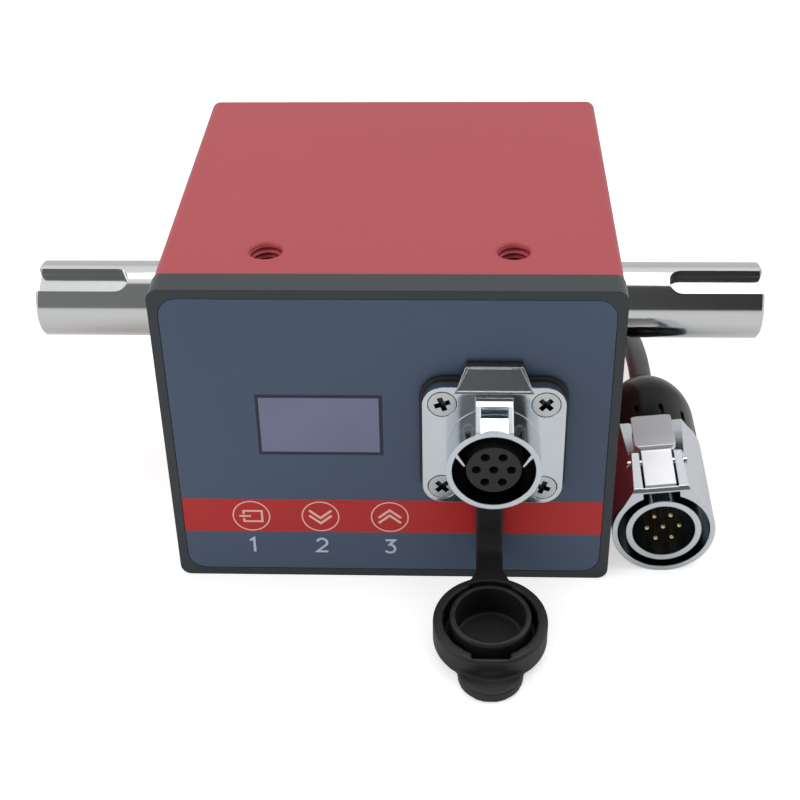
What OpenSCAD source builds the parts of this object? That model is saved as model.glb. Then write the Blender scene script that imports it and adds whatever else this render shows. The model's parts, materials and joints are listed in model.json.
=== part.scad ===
// Rotary torque sensor with a shaft through its housing, a keyed display panel and an unplugged lead.
// Millimetres. The origin is on the base under the middle of the shaft. X runs along the shaft,
// the panel faces -Y and Z is up.

/* [Housing] */
// Width of the front cover, along the shaft
body_w = 86; // [84:1:100]
// Height of the front cover
body_h = 66.5; // [66:0.5:80]
// Depth of the housing block behind the cover
housing_d = 78; // [74:1:96]
// Thickness of the front cover
cover_t = 6; // [5:0.5:9]
// How far the cover stands proud of the housing at the sides and top
cover_lip = 0.2; // [0.1:0.1:0.6]
// Radius of the long edges of the housing
edge_r = 2; // [1:0.5:4]
// Depth of the pocket behind the cover
pocket_d = 15; // [14:0.5:18]
// Wall left at the pocket's sides
pocket_side = 5.8; // [4.5:0.1:6.5]
// Wall left under and over the pocket
pocket_sill = 10.5; // [10:0.5:11]
// Width of the cavity round the rotor, along the shaft
cavity_w = 54; // [52:1:56]
// Wall left at the back of the rotor cavity
cavity_back = 8; // [5:0.5:14]
// Wall left under the rotor cavity
cavity_sill = 12; // [10.5:0.5:13]
// Wall left over the rotor cavity
cavity_roof = 3.2; // [2.5:0.1:6]

/* [Mounting holes] */
// Radius of a threaded mounting hole
mount_r = 3; // [2.5:0.1:3.4]
// Depth of a mounting hole
mount_depth = 8.5; // [6:0.5:9]
// Spacing of the mounting holes along the shaft
mount_x = 46; // [36:1:52]
// Distance of the top holes in front of the shaft's axis, and of the base holes on both sides
mount_y = 30; // [26:0.5:33]
// Width of the chamfer round each mounting hole
mount_chamfer = 0.4; // [0.2:0.1:0.8]

/* [Shaft] */
// Diameter of the shaft ends
shaft_d = 16; // [13:0.5:16.5]
// Length of the shaft over both ends
shaft_l = 151.4; // [130:0.2:190]
// Height of the shaft's axis above the base
shaft_z = 38.3; // [37.5:0.1:39]
// Diameter of the bearing journals
journal_d = 17; // [16.8:0.1:18]
// Diameter of the shoulders that hold the bearings apart
shoulder_d = 21; // [20:0.5:22]
// Diameter of the shaft inside the housing
core_d = 15; // [13:0.5:16]
// Diameter of the land where the shaft passes through an end cap
land_d = 16.6; // [16.5:0.1:16.8]
// Diameter of the measuring neck
neck_d = 12; // [8:0.5:13]
// Length of the measuring neck
neck_l = 14; // [10:0.5:16]
// Width of the keyways
key_w = 5.4; // [4:0.1:6]
// Depth of the keyways below the shaft's surface
key_depth = 3; // [2:0.1:3.5]
// Length of the keyways from the shaft's end
key_l = 19.4; // [12:0.2:22]
// Angle of the keyways above the horizontal, towards the panel
key_angle = 60; // [0:5:90]
// Chamfer at the shaft's ends
shaft_chamfer = 0.5; // [0.2:0.1:1]

/* [Bearings] */
// Outside diameter of a bearing
bearing_d = 35; // [34.5:0.1:35.5]
// Width of a bearing
bearing_w = 10; // [9:0.5:11]
// Diameter of a ball
ball_d = 4.7; // [4.2:0.1:4.9]
// Balls in a bearing
ball_n = 10; // [7:1:11]
// Outside diameter of an end cap
end_cap_d = 47.6; // [46.5:0.1:48.5]
// Thickness of an end cap
end_cap_t = 2.5; // [2.2:0.1:3.5]
// Gap between an end cap and the turning shaft
end_cap_gap = 0.4; // [0.3:0.1:0.6]

/* [Panel] */
// Bare rim of the cover round the overlay
overlay_rim = 1.9; // [1.5:0.1:3]
// Thickness of the overlay
overlay_t = 0.35; // [0.2:0.05:0.6]
// Radius of the overlay's corners
overlay_r = 3.5; // [2:0.1:4]
// Centre of the display from the middle of the panel
display_x = -13.1; // [-15:0.1:-12.5]
// Height of the display's centre
display_z = 37.2; // [35.5:0.1:39]
// Width of the display panel
display_w = 23.8; // [20:0.1:26]
// Height of the display panel
display_h = 13.9; // [11:0.1:16]
// Place of the middle key along the panel
key_x = -14; // [-16:0.1:-13]
// Height of the keys
key_z = 15.2; // [14.6:0.1:16]
// Distance from key to key
key_pitch = 13.65; // [9:0.05:14]
// Diameter of a key's plunger
plunger_d = 3.6; // [2.5:0.1:4.5]
// Travel of a key
key_travel = 0.3; // [0.1:0.05:0.5]

/* [Receptacle] */
// Place of the receptacle along the panel
socket_x = 19.5; // [18.8:0.1:21]
// Height of the receptacle's axis
socket_z = 35.1; // [34:0.1:36.5]
// Width and height of the flange
flange_w = 26.4; // [25.5:0.1:27.5]
// Thickness of the flange
flange_t = 2.3; // [1.8:0.1:3]
// Radius of the flange's corners
flange_r = 4; // [2:0.1:5]
// Spacing of the flange screws
flange_pitch = 19; // [18.6:0.1:19.6]
// Outside diameter of the barrel
barrel_d = 17.5; // [17:0.1:18]
// Wall of the barrel
barrel_wall = 1.05; // [0.8:0.05:1.3]
// Length of the barrel in front of the flange
barrel_l = 7.7; // [7:0.1:9]
// Thickness of the gasket plate behind the flange
gasket_t = 1.2; // [0.8:0.1:2]
// Contacts round the middle contact
contact_n = 6; // [3:1:6]
// Radius of the ring of contacts
contact_ring = 3.2; // [3:0.1:3.4]

/* [Dust cap] */
// Width of the strap
strap_w = 5.2; // [4:0.1:7]
// Outside diameter of the cap
cap_d = 21.6; // [21.2:0.1:23]
// Height of the cap from foot to rim
cap_h = 7.2; // [6.8:0.1:9]
// Distance of the cap's middle in front of the panel
cap_out = 20.9; // [20.5:0.1:24]
// Tilt of the cap towards the front
cap_tilt = 6; // [4:1:7]

/* [Plug] */
// Diameter of the plug's shell
plug_d = 20.3; // [20:0.1:21]
// Length of the metal shell
plug_l = 25.4; // [24.8:0.1:30]
// Length of the rear shell
rear_l = 24.2; // [20:0.1:28]
// Turn of the plug, its rear to the right
plug_turn = 0.8; // [0:0.1:3]
// Diameter of the lead's cable
cable_d = 5; // [4.5:0.1:5.5]

/* [Hidden] */
$fn = 64;

// Clearances
fit = 0.05;
slip = 0.1;
seat_gap = 0.3;
over = 1;

// Housing and cover planes
housing_w = body_w - 2*cover_lip;
housing_h = body_h - cover_lip;
back_y = housing_d/2;
joint_y = -housing_d/2;
face_y = joint_y - cover_t;
skin_y = face_y + overlay_t;
overlay_w = body_w - 2*overlay_rim;
overlay_h = body_h - 2*overlay_rim;
cover_r = 2.2;
pocket_w = housing_w - 2*pocket_side;
pocket_z0 = pocket_sill;
pocket_z1 = housing_h - pocket_sill;
pocket_y1 = joint_y + pocket_d;
cavity_y1 = back_y - cavity_back;
cavity_z0 = cavity_sill;
cavity_z1 = housing_h - cavity_roof;

// Screws: shank radius, head radius and head height of a countersunk screw
screw_r = 1.5;
screw_head_r = 2.6;
screw_head_h = 1.3;
screw_head_gap = 0.15;
recess_w = 1;
recess_l = 3;
recess_depth = 1;
cover_screw_inset = 5.5;
cover_screw_l = 14;

// Shaft and bearings
shaft_r = shaft_d/2;
journal_r = journal_d/2;
land_r = land_d/2;
land_out = 0.7;
side_x = housing_w/2;
bearing_x1 = side_x - end_cap_t;
bearing_x0 = bearing_x1 - bearing_w;
shoulder_l = 3;
shoulder_x0 = bearing_x0 - shoulder_l;
bearing_r = bearing_d/2;
race_r = (bearing_r + journal_r)/2;
groove_r = ball_d/2 + slip;
race_half = 1.75;
inner_race_r = race_r - race_half;
outer_race_r = race_r + race_half;
cage_t = 1.5;
cage_side = 1.2;
cage_w = ball_d + 2*cage_side;
end_cap_screw_r = (bearing_r + end_cap_d/2)/2;
end_cap_screw_l = 9;
end_cap_screw_n = 4;
relief_depth = 0.6;

// Rotor pieces, by their place along the shaft
core_r = core_d/2;
neck_r = neck_d/2;
gauge_t = 0.2;
gauge_l = 8;
gauge_angle = 40;
gauge_n = 4;
neck_room = 2;
shoulder_room = 0.5;
sleeve_x0 = neck_l/2 + neck_room;
sleeve_x1 = shoulder_x0 - shoulder_room;
sleeve_t = 2;
board_disc_in = 1;
board_disc_x0 = sleeve_x0 + board_disc_in;
board_disc_t = 1.6;
board_disc_r = 15.5;
winding_room = 2;
winding_x0 = board_disc_x0 + board_disc_t + winding_room;
winding_l = 7;
winding_r = 12.5;
air_gap = 0.6;
stator_t = 2.4;
stator_r = winding_r + air_gap + stator_t;
bracket_t = 2.5;
bracket_w = 10;
bracket_screw_y = 7.5;
disc_x = -17;
disc_t = 1.2;
disc_r = 16.5;
disc_hub_t = 2.5;
disc_hub_r = core_r + disc_hub_t;
disc_hub_l = 5;
slot_n = 24;
slot_w = 1.6;
slot_r0 = 12.8;
slot_r1 = 15.6;
pickup_w = 10;
pickup_slot = 3.2;
pickup_y = 9;
pickup_overlap = 4.5;
pickup_room = 1.5;
signal_lead_r = 1;
signal_lead_out = 6;

// Panel pieces
board_t = 1.6;
board_gap = 6;
board_y0 = joint_y + board_gap;
board_edge = 1.2;
board_x0 = -pocket_w/2 + board_edge;
board_x1 = 7;
standoff_r = 2.3;
standoff_rise = 13.7;
standoff_drop = 5.8;
standoff_low = pocket_z0 + standoff_rise;
standoff_high = pocket_z1 - standoff_drop;
standoff_inset = 3.4;
board_screw_r = 1.2;
board_screw_head = 2.1;
board_screw_head_h = 1.2;
display_t = 1.6;
display_y0 = skin_y + slip;
display_rim = 1.5;
switch_w = 6;
switch_h = 3.5;
plunger_room = 0.4;
plunger_hole_r = plunger_d/2 + plunger_room;
plunger_in = 2;
connector_w = 8;
connector_h = 5;
connector_t = 4;
connector_rise = 9;

// Receptacle, as distances out from the panel
flange_out = gasket_t + flange_t;
rim_out = flange_out + barrel_l;
barrel_r = barrel_d/2;
bore_r = barrel_r - barrel_wall;
tail_step = 0.35;
tail_r = barrel_r + tail_step;
tail_past = 4;
tail_in = cover_t + tail_past;
insert_in = 1;
post_r = 5.05;
post_drop = 0.5;
contact_r = 0.75;
contact_shell_r = 1.1;
contact_hole_r = contact_r + slip;
contact_drop = 3;
contact_front = rim_out - post_drop - contact_drop;
contact_tail = 4;
rib_w = 0.8;
rib_tip_w = 0.3;
rib_in = 2.8;
rib_angle = 27;
rib_lean = 30;
catch_w = 6.8;
catch_rail = 0.9;
catch_rise = 2.6;
catch_bar = 1.8;
catch_slot = 1.4;
catch_flat = 1.6;
catch_fall = 0.5;
catch_sink = 0.7;
catch_root = 2;
catch_foot = 0.5;
tab_w0 = 14.5;
tab_w1 = 10.4;
tab_drop = 1.4;
tab_rise = 3.1;
tab_rim = 0.4;
tab_sink = 0.15;
gasket_rim = 0.6;
socket_hole_r = tail_r + slip;
screw_hole_r = screw_r + fit;
flange_screw_l = 7;
screw_turn_x = 13;
screw_turn_y = 33;
bundle_l = 1.5;
socket_lead_r = 1.4;
lead_bend = 3;

// Strap and cap
strap_t = 1.4;
strap_mid = strap_t/2 + slip;
hinge_y = face_y - strap_mid;
hinge_z = 13;
strap_bend = 4;
cap_r = cap_d/2;
cap_taper = 2.2;
cap_foot_r = cap_r - cap_taper;
cap_floor = 1.5;
cap_side = 0.3;
cap_x = socket_x - cap_side;
cap_y = face_y - cap_out;
cap_z = cap_h*cos(cap_tilt) + cap_foot_r*sin(cap_tilt);
skirt_h = 5.2;
groove_out_r = barrel_r + slip;
groove_in_r = bore_r - fit;
groove_depth = 4.6;
seal_wall = 1.1;
seal_rise = 1.2;
notch_w = catch_w + seat_gap;
notch_wall = 1.3;
notch_in = 0.4;
facet_cut = 0.35;
pull_r = 6.1;
pull_out = 14.6;
pull_t = 2.2;
pull_lift = 0.8;
facet_rise = 2;
flare_w = 8.4;
flare_l = 1.2;
edge_break = 0.4;

// Plug, as distances back from its mating face
plug_x = 53.8;
plug_back = 2.6;
plug_y = face_y + plug_back;
plug_r = plug_d/2;
plug_roll = 7;
mouth_wall = 1.05;
mouth_r = plug_r - mouth_wall;
mouth_depth = 13;
seat_r = 8.2;
sleeve_front = 0.1;
sleeve_gap = 0.3;
sleeve_r = bore_r - sleeve_gap;
sleeve_bore_r = 6.2;
sleeve_end = 21;
sleeve_collar = 0.5;
insert_front = 9.5;
pin_r = 0.5;
pin_front = 1.1;
pin_end = 24;
saddle_x = 4.9;
saddle_y = 11.3;
saddle_tangent = atan2(saddle_y, saddle_x) - acos(plug_r/norm([saddle_x, saddle_y]));
saddle_sink = 0.15;
saddle_foot = (plug_r - saddle_sink)*[cos(saddle_tangent), sin(saddle_tangent)];
saddle_front = 0.7;
saddle_front_y = 10.05;
saddle_brow_y = 10.6;
arm_w = 6;
arm_gap = 0.45;
strip_t = 0.7;
mouth_notch_l = 4;
mouth_notch_rise = 0.6;
pin_z = 9.4;
pin_y = 10.1;
latch_pin_r = 0.7;
latch_hub_r = 1.15;
latch_pin_out = 0.3;
latch_pin_x = saddle_x + (saddle_y - pin_y)*(saddle_foot[0] - saddle_x)/(saddle_y - saddle_foot[1]);
arm_front = strip_t + seat_gap;
arm_low = 9.5;
arm_high = 11.45;
arm_brow = 10.65;
arm_nose_l = 0.55;
arm_nose_drop = 0.55;
arm_slot_drop = 1.3;
hook_drop = 0.6;
hook_l = 1.2;
plate_w = 8.2;
plate_z0 = 11.9;
plate_z1 = plug_l - seat_gap;
plate_low = 10.9;
plate_high = 12.1;
plate_lap = 2;
plate_break = 0.5;
plate_rear_low = 10.45;
plate_rear_high = 10.95;
plate_rear_break = 0.9;
plate_corner_r = 1.6;
shelf_front_y = 10.3;
shelf_rear_y = 8.75;
plate_front_gap = 0.4;
shelf_z = plate_z0 - plate_front_gap;
rear_step = 0.3;
rear_r = plug_r - rear_step;
rear_wall = 1.8;
rear_dome = 14;
rib_n = 12;
rib_groove_w = 1;
rib_groove_l = 5;
rib_groove_in = 0.7;
seal_in = 6;
seal_out = 0.8;
seal_t = 1.4;
seal_r = cable_d/2 + seal_t;

// Cable route from the plug's rear to the coil, and the coil
cable_r = cable_d/2;
cable_sides = 10;
cable_route = [[54.5, 7.2, 10.2], [54.6, 13, 10.1], [54.7, 20, 9.5], [54.8, 27, 7.9], [54.9, 34, 5.8],
    [54.4, 41, 4.1], [52.7, 48, 3], [49.5, 55, 2.6], [45.6, 62, 2.6], [41.6, 69, 2.6], [38.6, 74, 2.8],
    [36.9, 78, 3]];
coil_x = 0;
coil_y = 88;
coil_z = 1;
coil_mid_r = 30;
coil_turns_wide = 3;
coil_turns_high = 3;
coil_w = coil_turns_wide*cable_d;
coil_h = coil_turns_high*cable_d;
tie_t = 0.8;
tie_angle = 17;
tie_gap = 0.1;
core_n = 5;
core_wire_r = 0.7;
core_l = 24;

// Outline of a plate with round corners, about its middle
module round_rect(w, h, r) {
    square([w - 2*r, h], center = true);
    square([w, h - 2*r], center = true);
    for (sx = [-1, 1], sy = [-1, 1])
        translate([sx*(w/2 - r), sy*(h/2 - r)])
            circle(r = r);
}

// Extrudes an outline from one height to another
module slab(z0, z1) {
    translate([0, 0, z0])
        linear_extrude(z1 - z0)
            children();
}

// A ring or tube about Z
module ring(z0, z1, r_out, r_in) {
    slab(z0, z1)
        difference() {
            circle(r = r_out);
            circle(r = r_in);
        }
}

// Stands what is drawn about Z on the shaft's axis, with Z along +X
module on_shaft(x = 0) {
    translate([x, 0, shaft_z])
        rotate([0, 90, 0])
            children();
}

// Stands what is drawn about Z on the panel, with Z out of the panel and Y up
module on_panel(x = 0, z = 0) {
    translate([x, face_y, z])
        rotate([90, 0, 0])
            children();
}

module on_socket() {
    on_panel(socket_x, socket_z)
        children();
}

// Stands what is drawn about Z on the plug, with Z out of its mouth and Y up
module in_plug() {
    translate([plug_x, plug_y, plug_r])
        rotate([0, 0, -plug_turn])
            rotate([90, 0, 0])
                rotate([0, 0, plug_roll])
                    children();
}

// A countersunk screw with a cross recess, its head's top at z = 0 and its shank down -Z
module countersunk_screw(l) {
    difference() {
        union() {
            translate([0, 0, -screw_head_h])
                cylinder(h = screw_head_h, r1 = screw_r, r2 = screw_head_r);
            translate([0, 0, -l])
                cylinder(h = l - screw_head_h, r = screw_r);
        }
        for (a = [0, 90])
            rotate([0, 0, a])
                translate([-recess_l/2, -recess_w/2, -recess_depth])
                    cube([recess_l, recess_w, recess_depth + over]);
    }
}

// The hole that a countersunk screw sits in, from its head's top at z = 0
module screw_hole(l) {
    head_hole_r = screw_head_r + screw_head_gap;
    rotate_extrude()
        polygon([[0, -l], [screw_hole_r, -l], [screw_hole_r, -screw_head_h - fit], [head_hole_r, -fit],
            [head_hole_r, over], [0, over]]);
}

module at_corners(dx, dy) {
    for (sx = [-1, 1], sy = [-1, 1])
        translate([sx*dx, sy*dy, 0])
            children();
}

// Places children at the four cover screws, on the floor of the overlay's recess
module at_cover_screws() {
    on_panel(0, body_h/2)
        translate([0, 0, -overlay_t])
            at_corners(body_w/2 - cover_screw_inset, body_h/2 - cover_screw_inset)
                children();
}

// Places children at the screws of both end caps, on the caps' outer faces
module at_end_cap_screws() {
    for (side = [-1, 1], i = [0:end_cap_screw_n - 1])
        translate([side*side_x, 0, shaft_z])
            rotate([(i + 0.5)*360/end_cap_screw_n, 0, 0])
                translate([0, 0, end_cap_screw_r])
                    rotate([0, side*90, 0])
                        children();
}

module at_keys() {
    for (i = [-1:1])
        on_panel(key_x + i*key_pitch, key_z)
            children();
}

module at_standoffs() {
    for (x = [board_x0 + standoff_inset, board_x1 - standoff_inset], z = [standoff_low, standoff_high])
        translate([x, joint_y, z])
            rotate([-90, 0, 0])
                children();
}

// A threaded mounting hole that opens at z = 0 and goes down
module mount_hole() {
    translate([0, 0, -mount_depth])
        cylinder(h = mount_depth + over, r = mount_r);
    translate([0, 0, -mount_chamfer])
        cylinder(h = mount_chamfer, r1 = mount_r, r2 = mount_r + mount_chamfer);
}

module housing() {
    color("indianred")
        difference() {
            translate([0, back_y, housing_h/2])
                rotate([90, 0, 0])
                    linear_extrude(housing_d)
                        round_rect(housing_w, housing_h, edge_r);
            translate([-pocket_w/2, joint_y - over, pocket_z0])
                cube([pocket_w, pocket_d + over, pocket_z1 - pocket_z0]);
            translate([-cavity_w/2, pocket_y1 - over, cavity_z0])
                cube([cavity_w, cavity_y1 - pocket_y1 + over, cavity_z1 - cavity_z0]);
            on_shaft(-side_x - over)
                cylinder(h = housing_w + 2*over, r = bearing_r + fit);
            for (side = [-1, 1])
                on_shaft(side*side_x - (side > 0 ? end_cap_t : over))
                    cylinder(h = end_cap_t + over, r = end_cap_d/2 + slip);
            at_end_cap_screws()
                screw_hole(end_cap_screw_l + seat_gap);
            at_cover_screws()
                screw_hole(cover_screw_l + seat_gap);
            for (sx = [-1, 1]) {
                translate([sx*mount_x/2, -mount_y, housing_h])
                    mount_hole();
                for (sy = [-1, 1])
                    translate([sx*mount_x/2, sy*mount_y, 0])
                        rotate([180, 0, 0])
                            mount_hole();
            }
        }
}

module front_cover() {
    color("darkslategray")
        difference() {
            on_panel(0, body_h/2)
                slab(-cover_t, 0)
                    round_rect(body_w, body_h, cover_r);
            on_panel(0, body_h/2)
                slab(-overlay_t, over)
                    round_rect(overlay_w + 2*slip, overlay_h + 2*slip, overlay_r + slip);
            on_panel(display_x, display_z)
                slab(-cover_t - over, over)
                    square([display_w + 2*seat_gap, display_h + 2*seat_gap], center = true);
            at_keys()
                slab(-cover_t - over, over)
                    circle(r = plunger_hole_r);
            on_socket() {
                slab(-cover_t - over, over)
                    circle(r = socket_hole_r);
                at_corners(flange_pitch/2, flange_pitch/2)
                    slab(-cover_t - over, over)
                        circle(r = screw_hole_r);
            }
            at_cover_screws()
                screw_hole(cover_screw_l);
        }
}

module cover_screws() {
    color("gray")
        at_cover_screws()
            countersunk_screw(cover_screw_l);
}

module overlay() {
    color("slategray")
        difference() {
            on_panel(0, body_h/2)
                slab(-overlay_t, 0)
                    round_rect(overlay_w, overlay_h, overlay_r);
            on_socket() {
                slab(-over, over)
                    circle(r = socket_hole_r);
                at_corners(flange_pitch/2, flange_pitch/2)
                    slab(-over, over)
                        circle(r = screw_hole_r);
            }
        }
}

module display_panel() {
    color("lightsteelblue")
        translate([display_x, display_y0 + display_t, display_z])
            rotate([90, 0, 0])
                slab(0, display_t)
                    square([display_w, display_h], center = true);
}

// The frame that holds the display panel off the board
module display_frame() {
    color("black")
        translate([display_x, board_y0, display_z])
            rotate([90, 0, 0])
                slab(0, board_y0 - display_y0 - display_t)
                    difference() {
                        square([display_w, display_h], center = true);
                        square([display_w - 2*display_rim, display_h - 2*display_rim], center = true);
                    }
}

module main_board() {
    color("darkgreen")
        difference() {
            translate([board_x0, board_y0, pocket_z0 + board_edge])
                cube([board_x1 - board_x0, board_t, pocket_z1 - pocket_z0 - 2*board_edge]);
            at_standoffs()
                slab(0, pocket_d)
                    circle(r = board_screw_r + slip);
        }
}

module board_standoffs() {
    color("goldenrod")
        at_standoffs()
            ring(0, board_gap, standoff_r, board_screw_r + slip);
}

module board_screws() {
    color("gray")
        at_standoffs() {
            slab(seat_gap, board_gap + board_t)
                circle(r = board_screw_r);
            slab(board_gap + board_t, board_gap + board_t + board_screw_head_h)
                circle(r = board_screw_head);
        }
}

// Where the board's rear connectors sit: for the pickup, the stator and the receptacle
connector_low = pocket_z0 + connector_rise;
connector_right = board_x1 - connector_w/2;
connector_places = [[disc_x, connector_low], [connector_right, connector_low], [connector_right, socket_z]];

module board_connectors() {
    color("ivory")
        for (p = connector_places)
            translate([p[0] - connector_w/2, board_y0 + board_t, p[1] - connector_h/2])
                cube([connector_w, connector_t, connector_h]);
}

module key_switches() {
    color("dimgray")
        at_keys()
            difference() {
                slab(-cover_t - board_gap, -cover_t - board_gap + switch_h)
                    square([switch_w, switch_w], center = true);
                slab(-cover_t - board_gap + switch_h - plunger_in - key_travel - slip, 0)
                    circle(r = plunger_d/2 + fit);
            }
}

// One key's plunger, from the back of the overlay into its switch
module plunger(i) {
    color("silver")
        on_panel(key_x + i*key_pitch, key_z)
            slab(-cover_t - board_gap + switch_h - plunger_in, -overlay_t - fit)
                circle(d = plunger_d);
}

module key_1() {
    plunger(-1);
}

module key_2() {
    plunger(0);
}

module key_3() {
    plunger(1);
}

// Side view of the latch catch on the barrel: distances out from the panel and up from the axis
catch_top = barrel_r + catch_rise;
catch_ramp_end = barrel_r - 2*slip;
catch_root_r = barrel_r - catch_root;
catch_bar_out = flange_out + catch_flat + catch_bar;
catch_profile = [[flange_out - catch_foot, catch_root_r], [flange_out - catch_foot, catch_top - catch_fall],
    [flange_out + catch_flat, catch_top], [catch_bar_out, catch_top], [rim_out, catch_ramp_end],
    [rim_out, catch_root_r]];

// Extrudes a side view, drawn as distance out and height, to a width about the middle
module side_view(w) {
    rotate([0, 90, 0])
        rotate([0, 0, 90])
            translate([0, 0, -w/2])
                linear_extrude(w)
                    children();
}

// Turns a side view's points, out and up, into the plane that side_view extrudes
function side_points(points) = [for (p = points) [p[1], p[0]]];

module latch_catch() {
    slot_w = catch_w - 2*catch_rail;
    difference() {
        side_view(catch_w)
            polygon(side_points(catch_profile));
        translate([-slot_w/2, barrel_r - slip, catch_bar_out])
            cube([slot_w, catch_rise + over, catch_slot]);
        side_view(slot_w)
            polygon(side_points([[catch_bar_out, catch_top + over], [catch_bar_out, catch_top - catch_sink],
                [rim_out + over, catch_ramp_end - catch_sink], [rim_out + over, catch_top + over]]));
    }
}

// The sloped tab: it leans back from the flange's front to the gasket, with a sunk face in a narrow rim
tab_y0 = flange_w/2 - tab_drop;
tab_y1 = flange_w/2 + tab_rise;

// Front view of the tab, drawn in by an inset
module tab_front(inset) {
    polygon([[inset - tab_w0/2, tab_y0 + inset], [inset - tab_w1/2, tab_y1 - inset],
        [tab_w1/2 - inset, tab_y1 - inset], [tab_w0/2 - inset, tab_y0 + inset]]);
}

// What lies in front of the tab's face, drawn in by an inset and sunk by a depth
module tab_cut(inset, sink) {
    intersection() {
        slab(gasket_t - over, flange_out + over)
            tab_front(inset);
        side_view(tab_w0)
            polygon(side_points([[flange_out - sink, tab_y0], [flange_out + over, tab_y0],
                [flange_out + over, tab_y1], [gasket_t - sink, tab_y1]]));
    }
}

module flange_with_tab() {
    difference() {
        union() {
            slab(gasket_t, flange_out)
                round_rect(flange_w, flange_w, flange_r);
            slab(gasket_t, flange_out)
                tab_front(0);
        }
        tab_cut(0, 0);
        tab_cut(tab_rim, tab_sink);
    }
}

module receptacle_shell() {
    color("silver")
        on_socket()
            difference() {
                union() {
                    flange_with_tab();
                    slab(-tail_in, gasket_t)
                        circle(r = tail_r);
                    slab(gasket_t, rim_out)
                        circle(r = barrel_r);
                    latch_catch();
                }
                slab(-tail_in - over, -insert_in)
                    circle(r = bore_r);
                slab(-insert_in, rim_out + over)
                    difference() {
                        circle(r = bore_r);
                        for (side = [-1, 1])
                            rotate([0, 0, 90 - side*(90 - rib_angle)])
                                translate([bore_r, 0])
                                    rotate([0, 0, side*rib_lean])
                                        polygon([[over, -rib_w/2], [over, rib_w/2],
                                            [-rib_in, rib_tip_w/2], [-rib_in, -rib_tip_w/2]]);
                    }
                at_corners(flange_pitch/2, flange_pitch/2)
                    translate([0, 0, flange_out])
                        screw_hole(flange_t + over);
            }
}

module at_contacts() {
    children();
    for (i = [0:contact_n - 1])
        rotate([0, 0, i*360/contact_n])
            translate([contact_ring, 0, 0])
                children();
}

module receptacle_insert() {
    color("black")
        on_socket()
            difference() {
                union() {
                    slab(-tail_in, -insert_in)
                        circle(r = bore_r - fit);
                    slab(-insert_in, rim_out - post_drop)
                        circle(r = post_r);
                }
                at_contacts() {
                    slab(-tail_in - over, contact_front + fit)
                        circle(r = contact_shell_r + fit);
                    slab(contact_front, rim_out)
                        circle(r = contact_hole_r);
                }
            }
}

module receptacle_contacts() {
    color("gold")
        on_socket()
            at_contacts()
                difference() {
                    slab(-tail_in - contact_tail, contact_front)
                        circle(r = contact_shell_r);
                    slab(0, rim_out)
                        circle(r = contact_r);
                }
}

module receptacle_screws() {
    color("gainsboro")
        on_socket()
            for (sx = [-1, 1], sy = [-1, 1])
                translate([sx*flange_pitch/2, sy*flange_pitch/2, flange_out])
                    rotate([0, 0, sx*screw_turn_x + sy*screw_turn_y])
                        countersunk_screw(flange_screw_l);
}

// The bundle of wires from the receptacle's tails to its connector on the board
module socket_lead() {
    start_y = face_y + tail_in + contact_tail;
    turn_y = board_y0 + board_t + connector_t;
    end_x = connector_places[2][0];
    color("steelblue")
        translate([0, 0, socket_z]) {
            translate([socket_x, start_y + bundle_l, 0])
                rotate([90, 0, 0])
                    cylinder(h = bundle_l, r = contact_ring + contact_shell_r);
            translate([socket_x, turn_y, 0])
                rotate([90, 0, 0])
                    cylinder(h = turn_y - start_y - bundle_l, r = socket_lead_r);
            translate([socket_x - lead_bend, turn_y, 0])
                lead_elbow();
            translate([end_x + lead_bend, turn_y, 0])
                rotate([0, 0, 90])
                    lead_elbow();
            translate([end_x + lead_bend, turn_y + lead_bend, 0])
                rotate([0, 90, 0])
                    cylinder(h = socket_x - end_x - 2*lead_bend, r = socket_lead_r);
        }
}

module lead_elbow() {
    rotate_extrude(angle = 90)
        translate([lead_bend, 0])
            circle(r = socket_lead_r);
}

module cap_tether() {
    gasket_w = flange_w + 2*gasket_rim;
    strap_z0 = hinge_z + strap_t/2 + seat_gap;
    color("dimgray") {
        on_socket()
            difference() {
                slab(0, gasket_t)
                    union() {
                        round_rect(gasket_w, gasket_w, flange_r + gasket_rim);
                        translate([-tab_w1/2, 0])
                            square([tab_w1, gasket_w/2 + tab_rise]);
                    }
                slab(-over, gasket_t + over)
                    circle(r = socket_hole_r);
                at_corners(flange_pitch/2, flange_pitch/2)
                    slab(-over, gasket_t + over)
                        circle(r = screw_hole_r);
            }
        translate([cap_x - strap_w/2, hinge_y - strap_t/2, strap_z0])
            cube([strap_w, strap_t, socket_z - flange_w/2 - fit - strap_z0]);
    }
}

// Section of the cap: a skirt, a groove for the barrel's rim and the sealing ring inside it
cap_profile = [[0, -cap_h], [cap_foot_r, -cap_h], [cap_r, -skirt_h], [cap_r, -edge_break],
    [cap_r - edge_break, 0], [groove_out_r, 0], [groove_out_r, -groove_depth], [groove_in_r, -groove_depth],
    [groove_in_r, seal_rise - edge_break], [groove_in_r - edge_break, seal_rise],
    [groove_in_r - seal_wall, seal_rise], [groove_in_r - seal_wall, cap_floor - cap_h],
    [0, cap_floor - cap_h]];

module cap_place() {
    translate([cap_x, cap_y, cap_z])
        rotate([cap_tilt, 0, 0])
            children();
}

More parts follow.
